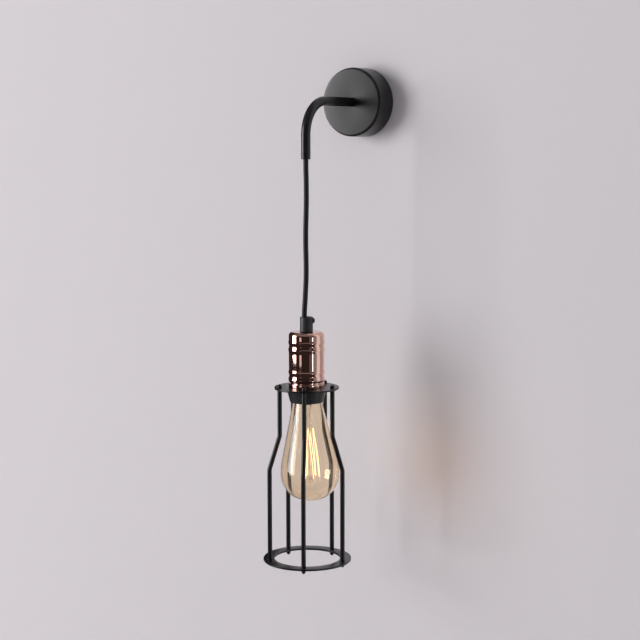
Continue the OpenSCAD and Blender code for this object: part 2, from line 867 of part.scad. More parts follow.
// Two lead wires from the press to the ends of the filament
module bulb_leads() {
    color("silver") leaning() for (side = [-1, 1])
        swept(curve([side * 2.2, 0.3, -334], [side * 2.4, 0.3, -344], [side * 4, 0.3, -345],
            [side * (hook_top_r + 0.6), 0.3, hook_top_z - 0.4], 6), 0.3, 6);
}

hook_top_r = 5;
hook_low_r = 9;

// Wire hooks that stand out of the stem and hold the filament's turns
module bulb_hooks() {
    color("silver") leaning() for (i = [0:strands / 2 - 1]) {
        turn = 720 * i / strands;
        rotate([0, 0, turn]) {
            rotate([0, 0, 360 / strands])
                swept(curve([1.3, 0, stem_low_z + 3], [4, 0, stem_low_z + 2.5],
                    [7, 0, stem_low_z + 2.5], [hook_low_r, 0, stem_low_z + 4.2], 4), 0.25, 6);
            swept(curve([1.3, 0, hook_top_z - 4], [2.5, 0, hook_top_z - 3.5],
                [4, 0, hook_top_z - 2], [hook_top_r, 0, hook_top_z - 1.2], 4), 0.25, 6);
        }
    }
}

// Where the filament passes hook i: it comes in at `ahead` = -1 and leaves at `ahead` = 1
function hook_point(i, ahead) =
    let (
        low = i % 2 == 1,
        r = (low ? hook_low_r : hook_top_r) + 0.6,
        turn = 360 * i / strands + ahead * 28 / r,
        z = (low ? stem_low_z + 4.2 : hook_top_z - 1.2)
    )
    [r * cos(turn), r * sin(turn), z];

// Point t of the way from hook i to the next one, bowed a little outwards
function strand_point(i, t) =
    let (
        straight = hook_point(i, 1) * (1 - t) + hook_point(i + 1, -1) * t,
        bow = 1 + (0.05 + 0.04 * (i % 3)) * 4 * t * (1 - t)
    )
    [straight[0] * bow, straight[1] * bow, straight[2]];

// One unbroken filament that zigzags round the stem between the upper and the lower hooks
module bulb_filament() {
    route = [for (i = [0:strands - 2]) for (t = [0:0.25:1]) strand_point(i, t)];
    color("orange") leaning() swept(route, 0.25, 6, undef);
}

wall_bracket();
canopy();
canopy_screws();
earth_screw();
earth_tag();
terminal_block();
terminal_screws();
block_screw();
wall_live_core();
wall_neutral_core();
wall_earth_core();
earth_link();
arm_tube();
arm_nipple();
arm_washer();
arm_nut();
cord_clamp();
clamp_screw();
mouth_bush();
cord_in_arm();
cord_bend_cores();
cord_bend_lining();
cord_bend_cover();
cord_drop();
cord_tail();
cord_grip();
grip_screw();
grip_nipple();
grip_nut();
holder_cap();
holder_skirt();
holder_insert();
holder_sleeve();
thread_shell();
centre_contact();
holder_terminals();
terminal_clamps();
holder_live_core();
holder_neutral_core();
holder_earth_core();
shade_ring();
cage_plate();
cage_hoop();
cage_rod(0);  // cage_rod_1
cage_rod(1);  // cage_rod_2
cage_rod(2);  // cage_rod_3
cage_rod(3);  // cage_rod_4
cage_rod(4);  // cage_rod_5
bulb_glass();
bulb_cap();
bulb_insulator();
bulb_contact();
bulb_stem();
bulb_leads();
bulb_hooks();
bulb_filament();
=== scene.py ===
"""Cage wall light: canopy, bent arm, cord pendant, lamp holder, rod cage and filament bulb.

Lengths inside the functions are in millimetres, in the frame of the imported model: the wall is
y = 0, +Z is up, and everything that hangs is turned about the plumb line x = 0, y = -115.
"""
import json

import bmesh
import bpy
import numpy as np
from mathutils import Matrix


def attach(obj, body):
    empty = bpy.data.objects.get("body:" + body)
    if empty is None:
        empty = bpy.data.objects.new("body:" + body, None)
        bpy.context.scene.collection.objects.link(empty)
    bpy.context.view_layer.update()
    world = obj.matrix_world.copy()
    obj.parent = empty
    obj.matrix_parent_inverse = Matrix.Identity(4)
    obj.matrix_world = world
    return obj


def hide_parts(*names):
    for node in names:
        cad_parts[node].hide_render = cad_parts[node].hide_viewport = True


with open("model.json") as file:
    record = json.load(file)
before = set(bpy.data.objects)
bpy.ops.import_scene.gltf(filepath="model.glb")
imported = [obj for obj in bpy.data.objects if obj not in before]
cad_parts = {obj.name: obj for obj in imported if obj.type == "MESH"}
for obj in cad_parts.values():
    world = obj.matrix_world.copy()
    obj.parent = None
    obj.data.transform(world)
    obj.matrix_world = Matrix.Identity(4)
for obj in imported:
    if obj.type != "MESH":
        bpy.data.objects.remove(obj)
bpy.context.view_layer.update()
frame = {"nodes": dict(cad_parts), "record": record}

bl_info = {
    "name": "Cage wall light",
    "version": (1, 0, 0),
    "blender": (4, 5, 0),
    "location": "3D View > Sidebar > Lamp",
    "description": "Builds a cage wall light round its packed model",
    "category": "Add Mesh",
}

MM = 0.001
REACH = 115.0  # wall to plumb line
MOUTH_Z = -62.5  # the arm's mouth, where the cord starts to hang
GRIP_Z = -231.0  # top of the cord grip
NIPPLE_LOW = -258.0  # where the cord's cores come out inside the holder
CAP_R, CAP_TOP, CAP_LOW = 19.2, -247.0, -302.0
SHOULDER = 4.4  # radius of the cap's rounded top edge
PLATE_TOP, PLATE_LOW = -307.0, -309.0
RING_LOW = -323.6
SKIRT_LOW = -321.0
HOOP_TOP, HOOP_LOW = -496.5, -498.5
ROD_TOP_R, ROD_LOW_R = 30.0, 41.6  # circles that the rods stand on, above and below
BULB_WIDE_Z = -402.5
BULB_TUBE_R, BULB_OPEN_Z = 12.6, -312.0  # the glass's neck, inside the screw cap
STEM_LOW = -411.0
TOP_HOOK = (5.0, -353.2)  # radius and height of the hooks' tips round the stem
LOW_HOOK = (9.0, -406.8)
SIDE = 34.0  # the azimuth that the bulb leans to and the grip's screw faces, from +X
CORE_R = 0.95  # insulated core
CORE_FRAME = (0.13, 1, 0.21)  # a direction that no core runs along


# ------------------------------------------------------------------ surfaces

def off_wall(p):
    """Turns points so that their z becomes the distance from the wall."""
    return np.stack([p[..., 0], -p[..., 2], p[..., 1]], -1)


def plumb(p):
    """Moves points to the plumb line below the arm's mouth."""
    return p + np.array([0.0, -REACH, 0.0])


def axis_turn(axis, degrees):
    """Rotation matrix about a unit axis, by Rodrigues' formula: R = I + sin K + (1 - cos) K K."""
    x, y, z = axis
    k = np.array([[0, -z, y], [z, 0, -x], [-y, x, 0]])
    a = np.radians(degrees)
    return np.eye(3) + np.sin(a) * k + (1 - np.cos(a)) * k @ k


def leaning(p):
    """The bulb's frame: a lean about a point on the plumb line inside the holder."""
    sizes = bpy.context.scene.lamp_sizes
    side = np.radians(SIDE)
    turn = axis_turn((-np.sin(side), np.cos(side), 0), -np.degrees(sizes.bulb_lean))
    pivot = np.array([0, 0, BULB_OPEN_Z])
    return plumb((p - pivot) @ turn.T + pivot)


def surface(name, grid, loop_u=False, loop_v=True, sharp=35.0):
    """A mesh over a grid of points (rows u, columns v): point (i, j) is joined to its right and
    lower neighbours by one face. A row or column shrunk to one spot becomes a closed pole."""
    nu, nv = grid.shape[:2]
    index = np.arange(nu * nv).reshape(nu, nv)
    if loop_u:
        index = np.concatenate([index, index[:1]], 0)
    if loop_v:
        index = np.concatenate([index, index[:, :1]], 1)
    faces = np.stack([index[:-1, :-1], index[:-1, 1:], index[1:, 1:], index[1:, :-1]], -1)
    mesh = bpy.data.meshes.new(name)
    mesh.from_pydata((grid.reshape(-1, 3) * MM).tolist(), [], faces.reshape(-1, 4).tolist())
    work = bmesh.new()
    work.from_mesh(mesh)
    bmesh.ops.remove_doubles(work, verts=work.verts, dist=2e-7)
    bmesh.ops.dissolve_degenerate(work, edges=work.edges, dist=2e-7)
    bmesh.ops.recalc_face_normals(work, faces=work.faces)
    work.to_mesh(mesh)
    work.free()
    mesh.polygons.foreach_set("use_smooth", np.ones(len(mesh.polygons), bool))
    mesh.set_sharp_from_angle(angle=np.radians(sharp))
    piece = bpy.data.objects.new(name, mesh)
    bpy.context.scene.collection.objects.link(piece)
    return piece


def joined(name, *pieces):
    """Puts several meshes into one."""
    work = bmesh.new()
    for piece in pieces:
        work.from_mesh(piece.data)
        bpy.data.objects.remove(piece)
    mesh = bpy.data.meshes.new(name)
    work.to_mesh(mesh)
    work.free()
    piece = bpy.data.objects.new(name, mesh)
    bpy.context.scene.collection.objects.link(piece)
    return piece


def eased(points, radii, steps=6, closed=True):
    """Outline with its corners eased. Each corner p becomes the curve
    (1-t)^2 a + 2t(1-t) p + t^2 b between the points a and b on its two sides."""
    p = np.asarray(points, float)
    r = np.broadcast_to(np.asarray(radii, float), (len(p),))[:, None]
    back, ahead = np.roll(p, 1, 0) - p, np.roll(p, -1, 0) - p
    back_l = np.linalg.norm(back, axis=1, keepdims=True)
    ahead_l = np.linalg.norm(ahead, axis=1, keepdims=True)
    reach = np.minimum(r, 0.48 * np.minimum(back_l, ahead_l))
    if not closed:
        reach[0] = reach[-1] = 0
    a, b = p + back / back_l * reach, p + ahead / ahead_l * reach
    t = np.linspace(0, 1, steps + 1)[None, :, None]
    curve = (1 - t) ** 2 * a[:, None] + 2 * t * (1 - t) * p[:, None] + t * t * b[:, None]
    return curve.reshape(-1, 2)


def arc(centre, radius, start, end, steps=24):
    """Points on a circle: centre + radius (cos a, sin a), a from start to end in degrees."""
    a = np.radians(np.linspace(start, end, steps + 1))
    return np.stack([centre[0] + radius * np.cos(a), centre[1] + radius * np.sin(a)], -1)


def turned(name, outline, place, sides=128, closed=True, sharp=35.0):
    """Surface of revolution: outline point (r, z) at angle v lies at (r cos v, r sin v, z)."""
    outline = np.asarray(outline, float)
    v = np.linspace(0, 2 * np.pi, sides, endpoint=False)
    r, z = outline[:, :1], outline[:, 1:]
    grid = np.stack([r * np.cos(v), r * np.sin(v), z + 0 * v], -1)
    return surface(name, place(grid), loop_u=closed, sharp=sharp)


def threaded(name, r, depth, pitch, z0, z1, wall, place, sides=96):
    """Rolled thread: radius r + depth (cos(2 pi z / pitch - v) - 1), faded out near both ends,
    with the inner surface one wall thickness inside it."""
    z = np.linspace(z0, z1, int((z1 - z0) / pitch * 14))[:, None]
    v = np.linspace(0, 2 * np.pi, sides, endpoint=False)[None, :]
    fade = np.clip(np.minimum(z - z0, z1 - z) / (0.4 * pitch), 0, 1)
    outer = r + depth * fade * (np.cos(2 * np.pi * z / pitch - v) - 1)
    rr = np.concatenate([outer, outer[::-1] - wall])
    zz = np.concatenate([z, z[::-1]]) + 0 * v
    return surface(name, place(np.stack([rr * np.cos(v), rr * np.sin(v), zz], -1)), loop_u=True)


def tube(name, path, radii, reference, sides=32, sharp=35.0):
    """Round bar along a path: point (i, v) is path(i) + r(i) (cos v U + sin v V), with U and V
    square to the path's direction and U square to the reference too. Its ends are closed."""
    path = np.asarray(path, float)
    radii = np.broadcast_to(np.asarray(radii, float), (len(path),))
    ahead = np.gradient(path, axis=0)
    ahead /= np.linalg.norm(ahead, axis=1, keepdims=True)
    u = np.cross(ahead, reference)
    u /= np.linalg.norm(u, axis=1, keepdims=True)
    w = np.cross(ahead, u)
    path = np.concatenate([path[:1], path, path[-1:]])
    radii = np.concatenate([[0], radii, [0]])[:, None, None]
    u, w = (np.concatenate([a[:1], a, a[-1:]])[:, None] for a in (u, w))
    v = np.linspace(0, 2 * np.pi, sides, endpoint=False)[None, :, None]
    grid = path[:, None] + radii * (np.cos(v) * u + np.sin(v) * w)
    return surface(name, grid, sharp=sharp)


def through(points, steps=8):
    """Smooth curve through points, by the Catmull-Rom formula with mirrored end points."""
    p = np.asarray(points, float)
    p = np.concatenate([[2 * p[0] - p[1]], p, [2 * p[-1] - p[-2]]])
    a, b, c, d = (p[i:len(p) - 3 + i][:, None] for i in range(4))
    t = np.linspace(0, 1, steps, endpoint=False)[None, :, None]
    curve = 0.5 * (2 * b + (c - a) * t + (2 * a - 5 * b + 4 * c - d) * t ** 2
                   + (3 * b - a - 3 * c + d) * t ** 3)
    return np.concatenate([curve.reshape(-1, 3), p[-2:-1]])


def sweep_between(p, a, b, q, steps=24):
    """Cubic curve that leaves p towards a and arrives at q from b."""
    p, a, b, q = (np.asarray(x, float) for x in (p, a, b, q))
    t = np.linspace(0, 1, steps + 1)[:, None]
    return (1 - t) ** 3 * p + 3 * t * (1 - t) ** 2 * a + 3 * t * t * (1 - t) * b + t ** 3 * q


# ------------------------------------------------------------------ finishes

def finish_of(name, socket_values, build):
    """A material with these values on its shader, and its pattern from build."""
    material = bpy.data.materials.new(name)
    material.use_nodes = True
    tree = material.node_tree
    shader = tree.nodes["Principled BSDF"]
    for socket, value in socket_values.items():
        shader.inputs[socket].default_value = value
    build(tree, shader)
    return material


def noise(tree, scale, detail, stretch=(1, 1, 1)):
    """Noise on Object coordinates, its pattern stretched along the axes."""
    where = tree.nodes.new("ShaderNodeTexCoord")
    mapping = tree.nodes.new("ShaderNodeMapping")
    mapping.inputs["Scale"].default_value = stretch
    node = tree.nodes.new("ShaderNodeTexNoise")
    node.inputs["Scale"].default_value = scale
    node.inputs["Detail"].default_value = detail
    tree.links.new(where.outputs["Object"], mapping.inputs["Vector"])
    tree.links.new(mapping.outputs["Vector"], node.inputs["Vector"])
    return node.outputs["Fac"]


def spread(tree, source, low, high, socket):
    """Spreads a texture's value between two numbers and feeds it to a socket."""
    node = tree.nodes.new("ShaderNodeMapRange")
    node.inputs["From Min"].default_value = 0.3
    node.inputs["From Max"].default_value = 0.7
    node.inputs["To Min"].default_value = low
    node.inputs["To Max"].default_value = high
    tree.links.new(source, node.inputs["Value"])
    tree.links.new(node.outputs["Result"], socket)


def tint(tree, source, dark, light, socket):
    """Blends two colours by a texture's value."""
    ramp = tree.nodes.new("ShaderNodeValToRGB")
    ramp.color_ramp.elements[0].position = 0.35
    ramp.color_ramp.elements[1].position = 0.65
    ramp.color_ramp.elements[0].color = (*dark, 1)
    ramp.color_ramp.elements[1].color = (*light, 1)
    tree.links.new(source, ramp.inputs["Fac"])
    tree.links.new(ramp.outputs["Color"], socket)


def relief(tree, shader, source, height_mm, strength):
    """Bump from a texture's value."""
    bump = tree.nodes.new("ShaderNodeBump")
    bump.inputs["Strength"].default_value = strength
    bump.inputs["Distance"].default_value = height_mm * MM
    tree.links.new(source, bump.inputs["Height"])
    tree.links.new(bump.outputs["Normal"], shader.inputs["Normal"])


def scaled(colour, factor):
    """The colour, lighter or darker by a factor."""
    return tuple(c * factor for c in colour)


def powder(colour, roughness):
    """Powder coat: fine orange-peel relief and a faint change of gloss and depth."""
    def build(tree, shader):
        grain, cloud = noise(tree, 1400.0, 3.0), noise(tree, 90.0, 3.0)
        tint(tree, cloud, colour, scaled(colour, 1.2), shader.inputs["Base Color"])
        spread(tree, cloud, roughness - 0.012, roughness + 0.012, shader.inputs["Roughness"])
        relief(tree, shader, grain, 0.02, 0.35)
    return build


def plated(colour, roughness):
    """Polished plating: faint smears along the turning and a trace of uneven polish."""
    def build(tree, shader):
        smear, polish = noise(tree, 90.0, 4.0, (1, 1, 5)), noise(tree, 35.0, 2.0)
        tint(tree, polish, scaled(colour, 0.93), colour, shader.inputs["Base Color"])
        spread(tree, smear, roughness * 0.7, roughness * 1.5, shader.inputs["Roughness"])
        relief(tree, shader, polish, 0.03, 0.12)
    return build


def grained(colour, roughness, scale, height_mm):
    """Plain moulded, drawn or machined finish: a fine grain in colour, gloss and relief."""
    def build(tree, shader):
        grain = noise(tree, scale, 3.0)
        tint(tree, grain, scaled(colour, 0.85), colour, shader.inputs["Base Color"])
        spread(tree, grain, roughness - 0.05, roughness + 0.05, shader.inputs["Roughness"])
        relief(tree, shader, grain, height_mm, 0.4)
    return build


def glassy(centre, edge, shade):
    """Drawn glass: a very slight waviness, a tint that deepens towards the edges, and a shadow
    tinted by `shade`."""
    def build(tree, shader):
        relief(tree, shader, noise(tree, 25.0, 1.0, (1, 1, 0.5)), 0.15, 0.06)
        facing = tree.nodes.new("ShaderNodeLayerWeight")
        facing.inputs["Blend"].default_value = 0.35
        ramp = tree.nodes.new("ShaderNodeValToRGB")
        ramp.color_ramp.elements[0].color = (*centre, 1)
        ramp.color_ramp.elements[1].color = (*edge, 1)
        ramp.color_ramp.elements[1].position = 0.75
        rays = tree.nodes.new("ShaderNodeLightPath")
        clear = tree.nodes.new("ShaderNodeBsdfTransparent")
        clear.inputs["Color"].default_value = (*shade, 1)
        mix = tree.nodes.new("ShaderNodeMixShader")
        tree.links.new(facing.outputs["Facing"], ramp.inputs["Fac"])
        tree.links.new(ramp.outputs["Color"], shader.inputs["Base Color"])
        tree.links.new(rays.outputs["Is Shadow Ray"], mix.inputs["Fac"])
        tree.links.new(shader.outputs["BSDF"], mix.inputs[1])
        tree.links.new(clear.outputs["BSDF"], mix.inputs[2])
        tree.links.new(mix.outputs["Shader"], tree.nodes["Material Output"].inputs["Surface"])
    return build


finishes = {}


def make_finishes():
    """The light's materials, from the colours in the panel."""
    colours = bpy.context.scene.lamp_colours
    coat, copper = tuple(colours.coat), tuple(colours.copper)
    glass, glow = tuple(colours.glass), tuple(colours.glow)
    plain = {  # colour, roughness, grains per metre, relief in millimetres, metallic
        "zinc_steel": ((0.60, 0.60, 0.58), 0.38, 900.0, 0.01, 1.0),
        "brass": ((0.78, 0.58, 0.26), 0.30, 700.0, 0.01, 1.0),
        "nickel": ((0.70, 0.68, 0.64), 0.22, 500.0, 0.005, 1.0),
        "white_plastic": ((0.80, 0.79, 0.74), 0.42, 600.0, 0.01, 0.0),
        "live_insulation": ((0.20, 0.085, 0.03), 0.40, 800.0, 0.01, 0.0),
        "neutral_insulation": ((0.05, 0.14, 0.42), 0.40, 800.0, 0.01, 0.0),
        "earth_insulation": ((0.42, 0.55, 0.06), 0.40, 800.0, 0.01, 0.0),
        "cord_cover": ((0.006, 0.0055, 0.006), 0.55, 1500.0, 0.02, 0.0),
        "black_plastic": ((0.02, 0.02, 0.021), 0.45, 900.0, 0.01, 0.0),
        "porcelain": ((0.85, 0.84, 0.79), 0.18, 250.0, 0.02, 0.0),
    }
    for name, (colour, roughness, scale, height, metal) in plain.items():
        finishes[name] = finish_of(name, {"Metallic": metal},
                                   grained(colour, roughness, scale, height))
    finishes["black_coat"] = finish_of("black_coat", {}, powder(coat, 0.30))
    finishes["black_screw"] = finish_of("black_screw", {}, powder(coat, 0.30))
    # Painted light: a copy of the powder coat three times lighter, which lifts the grip, its side
    # screw and the shade ring, whose cone faces down into shade.
    finishes["grip_black"] = finish_of("grip_black", {}, powder(scaled(coat, 3.0), 0.42))
    finishes["copper_plate"] = finish_of("copper_plate", {"Metallic": 1.0}, plated(copper, 0.045))
    clear = {"Roughness": 0.0, "IOR": 1.47, "Transmission Weight": 1.0}
    deeper = tuple(c ** 1.8 for c in glass)
    finishes["amber_glass"] = finish_of("amber_glass", {**clear, "Base Color": (*glass, 1)},
                                        glassy(glass, deeper, (0.80, 0.71, 0.63)))
    stem = (0.93, 0.90, 0.84)
    finishes["clear_glass"] = finish_of("clear_glass", {**clear, "Base Color": (*stem, 1)},
                                        glassy(stem, (0.88, 0.84, 0.76), (0.93, 0.90, 0.86)))
    finishes["filament"] = finish_of(
        "filament", {"Emission Color": (*glow, 1), "Emission Strength": 3.2},
        grained((0.9, 0.5, 0.2), 0.6, 900.0, 0.01))


def dress(piece, slot, body, replaces):
    """Gives a new piece its finish, the body that it rides on, and the nodes it stands for."""
    piece.data.materials.clear()
    piece.data.materials.append(finishes[slot])
    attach(piece, body)
    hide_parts(*replaces)


def dress_nodes():
    """Gives each carried-over node the finish of its slot in the record."""
    for part in frame["record"]["subparts"]:
        node = frame["nodes"][part["node"]]
        node.data.materials.clear()
        node.data.materials.append(finishes[part["material_slot"]])


# ------------------------------------------------------------------ shapes shared by pieces

def dome(name, place, head_r, head_h, shank_r, shank_l, socket_r):
    """Domed screw head on its seat at z = 0: a spherical cap with a sunk drive and a shank."""
    ball = (head_r ** 2 + head_h ** 2) / (2 * head_h)
    top = np.degrees(np.arccos(socket_r / ball))
    low = np.degrees(np.arcsin((ball - head_h) / ball))
    cap = arc((0, head_h - ball), ball, low, top, 14)
    cap[0] = (head_r, max(cap[0, 1], 0.15))
    rim = cap[-1, 1]
    outline = np.concatenate([
        [(0, -shank_l), (shank_r, -shank_l), (shank_r, 0), (head_r - 0.15, 0), (head_r, 0.1)],
        cap[1:], [(socket_r, rim - 0.9), (0, rim - 0.9)]])
    return turned(name, outline, place, sides=48, closed=False)


def aside(azimuth, z, seat):
    """Places a shape on a level axis through the plumb line, its z = 0 at the seat's radius."""
    a = np.radians(azimuth)

    def place(p):
        out = p[..., 2] + seat
        return plumb(np.stack([
            out * np.cos(a) - p[..., 0] * np.sin(a), out * np.sin(a) + p[..., 0] * np.cos(a),
            z + p[..., 1]], -1))
    return place


def arm_path(start, end_z, bend_steps=40):
    """The arm's centreline from `start` off the wall: straight, a quarter circle, straight."""
    bend = 37.0
    straight = np.linspace(start, REACH - bend, 12, endpoint=False)
    level = np.stack([0 * straight, -straight, 0 * straight], -1)
    a = np.linspace(0, np.pi / 2, bend_steps, endpoint=False)
    curve = np.stack([0 * a, -(REACH - bend) - bend * np.sin(a), -bend * (1 - np.cos(a))], -1)
    z = np.linspace(-bend, end_z, 8)
    drop = np.stack([0 * z, 0 * z - REACH, z], -1)
    return np.concatenate([level, curve, drop])


def pipe(name, path, r_out, r_in, ease, reference, sides=64):
    """Hollow tube along a path: the outer wall, the eased end, the inner wall back again. Point
    (i, v) is path(i) + s(i) T + r(i) (cos v U + sin v W), T along the path, U and W square to it,
    and the rim is a quarter circle: r = r_out - ease (1 - (1 - t^2)^0.5), s = -ease (1 - t)."""
    path = np.asarray(path, float)
    ahead = np.gradient(path, axis=0)
    ahead /= np.linalg.norm(ahead, axis=1, keepdims=True)
    u = np.cross(ahead, reference)
    u /= np.linalg.norm(u, axis=1, keepdims=True)
    w = np.cross(ahead, u)
    n = len(path)
    t = np.linspace(0, 1, 6)
    lip_r = r_out - ease * (1 - np.sqrt(1 - t ** 2))
    lip_s = -ease * (1 - t)
    rows = np.concatenate([np.arange(n - 1), np.full(6, n - 1), np.full(1, n - 1),
                           np.arange(n)[::-1]])
    radii = np.concatenate([np.full(n - 1, r_out), lip_r, [r_in + ease * 0.3],
                            np.full(n, r_in)])
    shift = np.concatenate([np.zeros(n - 1), lip_s, [0], [-ease * 0.4], np.zeros(n - 1)])
    v = np.linspace(0, 2 * np.pi, sides, endpoint=False)[None, :, None]
    centre = path[rows] + ahead[rows] * shift[:, None]
    grid = centre[:, None] + radii[:, None, None] * (
        np.cos(v) * u[rows][:, None] + np.sin(v) * w[rows][:, None])
    return surface(name, grid, loop_u=True)


def glass_outline(inset):
    """Half outline of the bulb's glass, from its lowest point to its neck: a circle below the
    widest height, a wider circle above it, a straight line touching that, and a small fillet."""
    wide, up_arc, flat = 32.0, 67.0, 2.0
    neck = np.array([15.9, -325.0])
    centre = np.array([wide - up_arc, BULB_WIDE_Z])
    gap = neck - centre
    slope = np.arctan2(gap[1], gap[0]) - np.arccos(up_arc / np.linalg.norm(gap))
    low = arc((flat, BULB_WIDE_Z), wide - flat - inset, -90, 0, 40)
    low[0, 0] = flat
    high = arc(centre, up_arc - inset, 0, np.degrees(slope), 40)
    shoulder_z = -321.1
    shoulder_r = neck[0] - np.tan(slope) * (shoulder_z - neck[1]) - inset / np.cos(slope)
    fillet = arc((BULB_TUBE_R - inset, shoulder_z), shoulder_r - BULB_TUBE_R + inset, 0, 90, 8)
    return np.concatenate([[(0, low[0, 1])], low, high[1:], fillet,
                           [(BULB_TUBE_R - inset, BULB_OPEN_Z)]])


# ------------------------------------------------------------------ settings in the panel

class LampSizes(bpy.types.PropertyGroup):
    """Sizes of the light that a user may change for the drawn pieces."""

    cord_diameter: bpy.props.FloatProperty(
        name="Cord diameter", description="Outer diameter of the cord's cover",
        default=0.0055, min=0.004, max=0.0058, unit="LENGTH", precision=4)
    rod_diameter: bpy.props.FloatProperty(
        name="Rod diameter", description="Diameter of the cage's rods",
        default=0.0049, min=0.003, max=0.0049, unit="LENGTH", precision=4)
    bead_height: bpy.props.FloatProperty(
        name="Bead height", description="How far the holder's rolled beads stand proud",
        default=0.00055, min=0.0, max=0.0008, unit="LENGTH", precision=5)
    bulb_lean: bpy.props.FloatProperty(
        name="Bulb lean", description="Lean of the bulb in its holder",
        default=np.radians(2.2), min=0.0, max=np.radians(2.4), subtype="ANGLE")
    filament_radius: bpy.props.FloatProperty(
        name="Filament radius", description="Radius of the glowing thread",
        default=0.0002, min=0.0001, max=0.0006, unit="LENGTH", precision=5)


class LampColours(bpy.types.PropertyGroup):
    """Colours of the light's main finishes."""

    coat: bpy.props.FloatVectorProperty(
        name="Powder coat", description="Colour of the black powder coat",
        default=(0.007, 0.0068, 0.0078), min=0, max=1, subtype="COLOR")
    copper: bpy.props.FloatVectorProperty(
        name="Copper plating", description="Colour of the polished holder",
        default=(0.85, 0.52, 0.44), min=0, max=1, subtype="COLOR")
    glass: bpy.props.FloatVectorProperty(
        name="Bulb glass", description="Tint of the bulb's glass",
        default=(0.995, 0.905, 0.775), min=0, max=1, subtype="COLOR")
    glow: bpy.props.FloatVectorProperty(
        name="Filament glow", description="Colour of the lit filament",
        default=(1.0, 0.74, 0.40), min=0, max=1, subtype="COLOR")
    wall: bpy.props.FloatVectorProperty(
        name="Wall", description="Colour of the wall behind the light",
        default=(0.625, 0.592, 0.612), min=0, max=1, subtype="COLOR")


# ------------------------------------------------------------------ the operators

